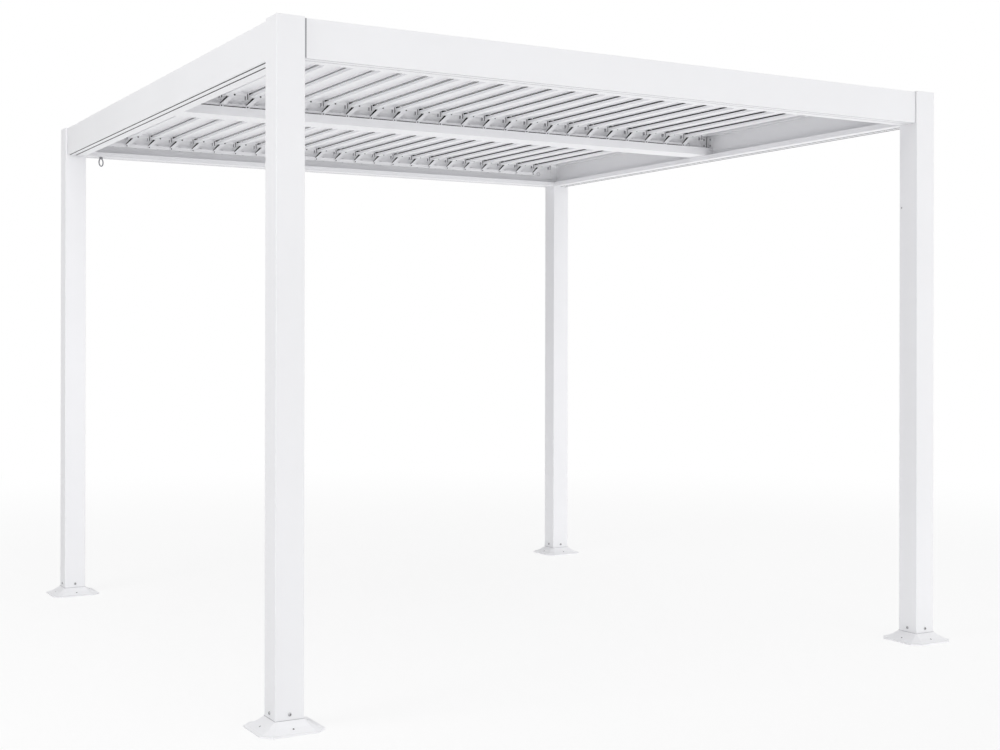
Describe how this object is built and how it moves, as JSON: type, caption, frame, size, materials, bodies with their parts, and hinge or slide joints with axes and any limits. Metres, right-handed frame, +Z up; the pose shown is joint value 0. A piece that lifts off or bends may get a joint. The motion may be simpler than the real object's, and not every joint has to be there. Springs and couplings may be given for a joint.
{
  "type": "louvred roof pergola",
  "caption": "Free-standing square metal pergola with four posts on flared feet, gutter beams and two banks of turning roof louvres.",
  "frame": {"origin": "on the floor under the middle of the frame", "axes": "+X along the front beam to the right, +Y from the front beam to the rear beam, +Z up"},
  "size_m": [3.074, 3.104, 2.32],
  "materials": {
    "frame_white": "satin white powder coat",
    "louvre_white": "satin white powder coat",
    "crank_metal": "bright plated"
  },
  "bodies": {
    "frame": {"front_left_post": "frame_white", "front_right_post": "frame_white", "back_left_post": "frame_white", "back_right_post": "frame_white", "front_beam": "frame_white", "back_beam": "frame_white", "left_beam": "frame_white", "right_beam": "frame_white", "middle_beam": "frame_white"},
    "front_louvre_01": {"front_louvre_01": "louvre_white"},
    "front_louvre_02": {"front_louvre_02": "louvre_white"},
    "front_louvre_03": {"front_louvre_03": "louvre_white"},
    "front_louvre_04": {"front_louvre_04": "louvre_white"},
    "front_louvre_05": {"front_louvre_05": "louvre_white"},
    "front_louvre_06": {"front_louvre_06": "louvre_white"},
    "front_louvre_07": {"front_louvre_07": "louvre_white"},
    "front_louvre_08": {"front_louvre_08": "louvre_white"},
    "front_louvre_09": {"front_louvre_09": "louvre_white"},
    "front_louvre_10": {"front_louvre_10": "louvre_white"},
    "front_louvre_11": {"front_louvre_11": "louvre_white"},
    "front_louvre_12": {"front_louvre_12": "louvre_white"},
    "front_louvre_13": {"front_louvre_13": "louvre_white"},
    "front_louvre_14": {"front_louvre_14": "louvre_white"},
    "front_louvre_15": {"front_louvre_15": "louvre_white"},
    "front_louvre_16": {"front_louvre_16": "louvre_white"},
    "front_louvre_17": {"front_louvre_17": "louvre_white"},
    "front_louvre_18": {"front_louvre_18": "louvre_white"},
    "front_louvre_19": {"front_louvre_19": "louvre_white"},
    "front_louvre_20": {"front_louvre_20": "louvre_white"},
    "front_louvre_21": {"front_louvre_21": "louvre_white"},
    "front_louvre_22": {"front_louvre_22": "louvre_white"},
    "front_louvre_23": {"front_louvre_23": "louvre_white"},
    "front_louvre_24": {"front_louvre_24": "louvre_white"},
    "front_tie_bar": {"front_tie_bar": "frame_white"},
    "back_louvre_01": {"back_louvre_01": "louvre_white"},
    "back_louvre_02": {"back_louvre_02": "louvre_white"},
    "back_louvre_03": {"back_louvre_03": "louvre_white"},
    "back_louvre_04": {"back_louvre_04": "louvre_white"},
    "back_louvre_05": {"back_louvre_05": "louvre_white"},
    "back_louvre_06": {"back_louvre_06": "louvre_white"},
    "back_louvre_07": {"back_louvre_07": "louvre_white"},
    "back_louvre_08": {"back_louvre_08": "louvre_white"},
    "back_louvre_09": {"back_louvre_09": "louvre_white"},
    "back_louvre_10": {"back_louvre_10": "louvre_white"},
    "back_louvre_11": {"back_louvre_11": "louvre_white"},
    "back_louvre_12": {"back_louvre_12": "louvre_white"},
    "back_louvre_13": {"back_louvre_13": "louvre_white"},
    "back_louvre_14": {"back_louvre_14": "louvre_white"},
    "back_louvre_15": {"back_louvre_15": "louvre_white"},
    "back_louvre_16": {"back_louvre_16": "louvre_white"},
    "back_louvre_17": {"back_louvre_17": "louvre_white"},
    "back_louvre_18": {"back_louvre_18": "louvre_white"},
    "back_louvre_19": {"back_louvre_19": "louvre_white"},
    "back_louvre_20": {"back_louvre_20": "louvre_white"},
    "back_louvre_21": {"back_louvre_21": "louvre_white"},
    "back_louvre_22": {"back_louvre_22": "louvre_white"},
    "back_louvre_23": {"back_louvre_23": "louvre_white"},
    "back_louvre_24": {"back_louvre_24": "louvre_white"},
    "back_tie_bar": {"back_tie_bar": "frame_white"},
    "crank_eye": {"crank_eye": "crank_metal"}
  },
  "joints": [
    {"name": "front_louvre_01_turn", "type": "hinge", "parent": "frame", "child": "front_louvre_01", "pos_m": [-1.345, -0.7355, 2.298], "axis": [0, -1, 0], "range_deg": [0, 90]},
    {"name": "front_louvre_02_turn", "type": "hinge", "parent": "frame", "child": "front_louvre_02", "pos_m": [-1.23042, -0.7355, 2.298], "axis": [0, -1, 0], "range_deg": [0, 90]},
    {"name": "front_louvre_03_turn", "type": "hinge", "parent": "frame", "child": "front_louvre_03", "pos_m": [-1.11583, -0.7355, 2.298], "axis": [0, -1, 0], "range_deg": [0, 90]},
    {"name": "front_louvre_04_turn", "type": "hinge", "parent": "frame", "child": "front_louvre_04", "pos_m": [-1.00125, -0.7355, 2.298], "axis": [0, -1, 0], "range_deg": [0, 90]},
    {"name": "front_louvre_05_turn", "type": "hinge", "parent": "frame", "child": "front_louvre_05", "pos_m": [-0.88667, -0.7355, 2.298], "axis": [0, -1, 0], "range_deg": [0, 90]},
    {"name": "front_louvre_06_turn", "type": "hinge", "parent": "frame", "child": "front_louvre_06", "pos_m": [-0.77208, -0.7355, 2.298], "axis": [0, -1, 0], "range_deg": [0, 90]},
    {"name": "front_louvre_07_turn", "type": "hinge", "parent": "frame", "child": "front_louvre_07", "pos_m": [-0.6575, -0.7355, 2.298], "axis": [0, -1, 0], "range_deg": [0, 90]},
    {"name": "front_louvre_08_turn", "type": "hinge", "parent": "frame", "child": "front_louvre_08", "pos_m": [-0.54292, -0.7355, 2.298], "axis": [0, -1, 0], "range_deg": [0, 90]},
    {"name": "front_louvre_09_turn", "type": "hinge", "parent": "frame", "child": "front_louvre_09", "pos_m": [-0.42833, -0.7355, 2.298], "axis": [0, -1, 0], "range_deg": [0, 90]},
    {"name": "front_louvre_10_turn", "type": "hinge", "parent": "frame", "child": "front_louvre_10", "pos_m": [-0.31375, -0.7355, 2.298], "axis": [0, -1, 0], "range_deg": [0, 90]},
    {"name": "front_louvre_11_turn", "type": "hinge", "parent": "frame", "child": "front_louvre_11", "pos_m": [-0.19917, -0.7355, 2.298], "axis": [0, -1, 0], "range_deg": [0, 90]},
    {"name": "front_louvre_12_turn", "type": "hinge", "parent": "frame", "child": "front_louvre_12", "pos_m": [-0.08458, -0.7355, 2.298], "axis": [0, -1, 0], "range_deg": [0, 90]},
    {"name": "front_louvre_13_turn", "type": "hinge", "parent": "frame", "child": "front_louvre_13", "pos_m": [0.03, -0.7355, 2.298], "axis": [0, -1, 0], "range_deg": [0, 90]},
    {"name": "front_louvre_14_turn", "type": "hinge", "parent": "frame", "child": "front_louvre_14", "pos_m": [0.14458, -0.7355, 2.298], "axis": [0, -1, 0], "range_deg": [0, 90]},
    {"name": "front_louvre_15_turn", "type": "hinge", "parent": "frame", "child": "front_louvre_15", "pos_m": [0.25917, -0.7355, 2.298], "axis": [0, -1, 0], "range_deg": [0, 90]},
    {"name": "front_louvre_16_turn", "type": "hinge", "parent": "frame", "child": "front_louvre_16", "pos_m": [0.37375, -0.7355, 2.298], "axis": [0, -1, 0], "range_deg": [0, 90]},
    {"name": "front_louvre_17_turn", "type": "hinge", "parent": "frame", "child": "front_louvre_17", "pos_m": [0.48833, -0.7355, 2.298], "axis": [0, -1, 0], "range_deg": [0, 90]},
    {"name": "front_louvre_18_turn", "type": "hinge", "parent": "frame", "child": "front_louvre_18", "pos_m": [0.60292, -0.7355, 2.298], "axis": [0, -1, 0], "range_deg": [0, 90]},
    {"name": "front_louvre_19_turn", "type": "hinge", "parent": "frame", "child": "front_louvre_19", "pos_m": [0.7175, -0.7355, 2.298], "axis": [0, -1, 0], "range_deg": [0, 90]},
    {"name": "front_louvre_20_turn", "type": "hinge", "parent": "frame", "child": "front_louvre_20", "pos_m": [0.83208, -0.7355, 2.298], "axis": [0, -1, 0], "range_deg": [0, 90]},
    {"name": "front_louvre_21_turn", "type": "hinge", "parent": "frame", "child": "front_louvre_21", "pos_m": [0.94667, -0.7355, 2.298], "axis": [0, -1, 0], "range_deg": [0, 90]},
    {"name": "front_louvre_22_turn", "type": "hinge", "parent": "frame", "child": "front_louvre_22", "pos_m": [1.06125, -0.7355, 2.298], "axis": [0, -1, 0], "range_deg": [0, 90]},
    {"name": "front_louvre_23_turn", "type": "hinge", "parent": "frame", "child": "front_louvre_23", "pos_m": [1.17583, -0.7355, 2.298], "axis": [0, -1, 0], "range_deg": [0, 90]},
    {"name": "front_louvre_24_turn", "type": "hinge", "parent": "frame", "child": "front_louvre_24", "pos_m": [1.29042, -0.7355, 2.298], "axis": [0, -1, 0], "range_deg": [0, 90]},
    {"name": "front_tie_bar_swing", "type": "hinge", "parent": "front_louvre_01", "child": "front_tie_bar", "pos_m": [-1.397, -0.05, 2.25], "axis": [0, -1, 0], "range_deg": [-90, 0]},
    {"name": "back_louvre_01_turn", "type": "hinge", "parent": "frame", "child": "back_louvre_01", "pos_m": [-1.345, 0.7195, 2.298], "axis": [0, -1, 0], "range_deg": [0, 90]},
    {"name": "back_louvre_02_turn", "type": "hinge", "parent": "frame", "child": "back_louvre_02", "pos_m": [-1.23042, 0.7195, 2.298], "axis": [0, -1, 0], "range_deg": [0, 90]},
    {"name": "back_louvre_03_turn", "type": "hinge", "parent": "frame", "child": "back_louvre_03", "pos_m": [-1.11583, 0.7195, 2.298], "axis": [0, -1, 0], "range_deg": [0, 90]},
    {"name": "back_louvre_04_turn", "type": "hinge", "parent": "frame", "child": "back_louvre_04", "pos_m": [-1.00125, 0.7195, 2.298], "axis": [0, -1, 0], "range_deg": [0, 90]},
    {"name": "back_louvre_05_turn", "type": "hinge", "parent": "frame", "child": "back_louvre_05", "pos_m": [-0.88667, 0.7195, 2.298], "axis": [0, -1, 0], "range_deg": [0, 90]},
    {"name": "back_louvre_06_turn", "type": "hinge", "parent": "frame", "child": "back_louvre_06", "pos_m": [-0.77208, 0.7195, 2.298], "axis": [0, -1, 0], "range_deg": [0, 90]},
    {"name": "back_louvre_07_turn", "type": "hinge", "parent": "frame", "child": "back_louvre_07", "pos_m": [-0.6575, 0.7195, 2.298], "axis": [0, -1, 0], "range_deg": [0, 90]},
    {"name": "back_louvre_08_turn", "type": "hinge", "parent": "frame", "child": "back_louvre_08", "pos_m": [-0.54292, 0.7195, 2.298], "axis": [0, -1, 0], "range_deg": [0, 90]},
    {"name": "back_louvre_09_turn", "type": "hinge", "parent": "frame", "child": "back_louvre_09", "pos_m": [-0.42833, 0.7195, 2.298], "axis": [0, -1, 0], "range_deg": [0, 90]},
    {"name": "back_louvre_10_turn", "type": "hinge", "parent": "frame", "child": "back_louvre_10", "pos_m": [-0.31375, 0.7195, 2.298], "axis": [0, -1, 0], "range_deg": [0, 90]},
    {"name": "back_louvre_11_turn", "type": "hinge", "parent": "frame", "child": "back_louvre_11", "pos_m": [-0.19917, 0.7195, 2.298], "axis": [0, -1, 0], "range_deg": [0, 90]},
    {"name": "back_louvre_12_turn", "type": "hinge", "parent": "frame", "child": "back_louvre_12", "pos_m": [-0.08458, 0.7195, 2.298], "axis": [0, -1, 0], "range_deg": [0, 90]},
    {"name": "back_louvre_13_turn", "type": "hinge", "parent": "frame", "child": "back_louvre_13", "pos_m": [0.03, 0.7195, 2.298], "axis": [0, -1, 0], "range_deg": [0, 90]},
    {"name": "back_louvre_14_turn", "type": "hinge", "parent": "frame", "child": "back_louvre_14", "pos_m": [0.14458, 0.7195, 2.298], "axis": [0, -1, 0], "range_deg": [0, 90]},
    {"name": "back_louvre_15_turn", "type": "hinge", "parent": "frame", "child": "back_louvre_15", "pos_m": [0.25917, 0.7195, 2.298], "axis": [0, -1, 0], "range_deg": [0, 90]},
    {"name": "back_louvre_16_turn", "type": "hinge", "parent": "frame", "child": "back_louvre_16", "pos_m": [0.37375, 0.7195, 2.298], "axis": [0, -1, 0], "range_deg": [0, 90]},
    {"name": "back_louvre_17_turn", "type": "hinge", "parent": "frame", "child": "back_louvre_17", "pos_m": [0.48833, 0.7195, 2.298], "axis": [0, -1, 0], "range_deg": [0, 90]},
    {"name": "back_louvre_18_turn", "type": "hinge", "parent": "frame", "child": "back_louvre_18", "pos_m": [0.60292, 0.7195, 2.298], "axis": [0, -1, 0], "range_deg": [0, 90]},
    {"name": "back_louvre_19_turn", "type": "hinge", "parent": "frame", "child": "back_louvre_19", "pos_m": [0.7175, 0.7195, 2.298], "axis": [0, -1, 0], "range_deg": [0, 90]},
    {"name": "back_louvre_20_turn", "type": "hinge", "parent": "frame", "child": "back_louvre_20", "pos_m": [0.83208, 0.7195, 2.298], "axis": [0, -1, 0], "range_deg": [0, 90]},
    {"name": "back_louvre_21_turn", "type": "hinge", "parent": "frame", "child": "back_louvre_21", "pos_m": [0.94667, 0.7195, 2.298], "axis": [0, -1, 0], "range_deg": [0, 90]},
    {"name": "back_louvre_22_turn", "type": "hinge", "parent": "frame", "child": "back_louvre_22", "pos_m": [1.06125, 0.7195, 2.298], "axis": [0, -1, 0], "range_deg": [0, 90]},
    {"name": "back_louvre_23_turn", "type": "hinge", "parent": "frame", "child": "back_louvre_23", "pos_m": [1.17583, 0.7195, 2.298], "axis": [0, -1, 0], "range_deg": [0, 90]},
    {"name": "back_louvre_24_turn", "type": "hinge", "parent": "frame", "child": "back_louvre_24", "pos_m": [1.29042, 0.7195, 2.298], "axis": [0, -1, 0], "range_deg": [0, 90]},
    {"name": "back_tie_bar_swing", "type": "hinge", "parent": "back_louvre_01", "child": "back_tie_bar", "pos_m": [-1.397, 1.405, 2.25], "axis": [0, -1, 0], "range_deg": [-90, 0]},
    {"name": "crank_turn", "type": "hinge", "parent": "frame", "child": "crank_eye", "pos_m": [-1.295, 1.412, 2.186], "axis": [0, 0, 1], "range_deg": [0, 1080]}
  ],
  "couplings": [
    {"joint": "front_louvre_02_turn", "follows": "front_louvre_01_turn", "ratio": 1},
    {"joint": "front_louvre_03_turn", "follows": "front_louvre_01_turn", "ratio": 1},
    {"joint": "front_louvre_04_turn", "follows": "front_louvre_01_turn", "ratio": 1},
    {"joint": "front_louvre_05_turn", "follows": "front_louvre_01_turn", "ratio": 1},
    {"joint": "front_louvre_06_turn", "follows": "front_louvre_01_turn", "ratio": 1},
    {"joint": "front_louvre_07_turn", "follows": "front_louvre_01_turn", "ratio": 1},
    {"joint": "front_louvre_08_turn", "follows": "front_louvre_01_turn", "ratio": 1},
    {"joint": "front_louvre_09_turn", "follows": "front_louvre_01_turn", "ratio": 1},
    {"joint": "front_louvre_10_turn", "follows": "front_louvre_01_turn", "ratio": 1},
    {"joint": "front_louvre_11_turn", "follows": "front_louvre_01_turn", "ratio": 1},
    {"joint": "front_louvre_12_turn", "follows": "front_louvre_01_turn", "ratio": 1},
    {"joint": "front_louvre_13_turn", "follows": "front_louvre_01_turn", "ratio": 1},
    {"joint": "front_louvre_14_turn", "follows": "front_louvre_01_turn", "ratio": 1},
    {"joint": "front_louvre_15_turn", "follows": "front_louvre_01_turn", "ratio": 1},
    {"joint": "front_louvre_16_turn", "follows": "front_louvre_01_turn", "ratio": 1},
    {"joint": "front_louvre_17_turn", "follows": "front_louvre_01_turn", "ratio": 1},
    {"joint": "front_louvre_18_turn", "follows": "front_louvre_01_turn", "ratio": 1},
    {"joint": "front_louvre_19_turn", "follows": "front_louvre_01_turn", "ratio": 1},
    {"joint": "front_louvre_20_turn", "follows": "front_louvre_01_turn", "ratio": 1},
    {"joint": "front_louvre_21_turn", "follows": "front_louvre_01_turn", "ratio": 1},
    {"joint": "front_louvre_22_turn", "follows": "front_louvre_01_turn", "ratio": 1},
    {"joint": "front_louvre_23_turn", "follows": "front_louvre_01_turn", "ratio": 1},
    {"joint": "front_louvre_24_turn", "follows": "front_louvre_01_turn", "ratio": 1},
    {"joint": "front_tie_bar_swing", "follows": "front_louvre_01_turn", "ratio": -1},
    {"joint": "back_louvre_02_turn", "follows": "back_louvre_01_turn", "ratio": 1},
    {"joint": "back_louvre_03_turn", "follows": "back_louvre_01_turn", "ratio": 1},
    {"joint": "back_louvre_04_turn", "follows": "back_louvre_01_turn", "ratio": 1},
    {"joint": "back_louvre_05_turn", "follows": "back_louvre_01_turn", "ratio": 1},
    {"joint": "back_louvre_06_turn", "follows": "back_louvre_01_turn", "ratio": 1},
    {"joint": "back_louvre_07_turn", "follows": "back_louvre_01_turn", "ratio": 1},
    {"joint": "back_louvre_08_turn", "follows": "back_louvre_01_turn", "ratio": 1},
    {"joint": "back_louvre_09_turn", "follows": "back_louvre_01_turn", "ratio": 1},
    {"joint": "back_louvre_10_turn", "follows": "back_louvre_01_turn", "ratio": 1},
    {"joint": "back_louvre_11_turn", "follows": "back_louvre_01_turn", "ratio": 1},
    {"joint": "back_louvre_12_turn", "follows": "back_louvre_01_turn", "ratio": 1},
    {"joint": "back_louvre_13_turn", "follows": "back_louvre_01_turn", "ratio": 1},
    {"joint": "back_louvre_14_turn", "follows": "back_louvre_01_turn", "ratio": 1},
    {"joint": "back_louvre_15_turn", "follows": "back_louvre_01_turn", "ratio": 1},
    {"joint": "back_louvre_16_turn", "follows": "back_louvre_01_turn", "ratio": 1},
    {"joint": "back_louvre_17_turn", "follows": "back_louvre_01_turn", "ratio": 1},
    {"joint": "back_louvre_18_turn", "follows": "back_louvre_01_turn", "ratio": 1},
    {"joint": "back_louvre_19_turn", "follows": "back_louvre_01_turn", "ratio": 1},
    {"joint": "back_louvre_20_turn", "follows": "back_louvre_01_turn", "ratio": 1},
    {"joint": "back_louvre_21_turn", "follows": "back_louvre_01_turn", "ratio": 1},
    {"joint": "back_louvre_22_turn", "follows": "back_louvre_01_turn", "ratio": 1},
    {"joint": "back_louvre_23_turn", "follows": "back_louvre_01_turn", "ratio": 1},
    {"joint": "back_louvre_24_turn", "follows": "back_louvre_01_turn", "ratio": 1},
    {"joint": "back_tie_bar_swing", "follows": "back_louvre_01_turn", "ratio": -1},
    {"joint": "crank_turn", "follows": "back_louvre_01_turn", "ratio": 12}
  ]
}
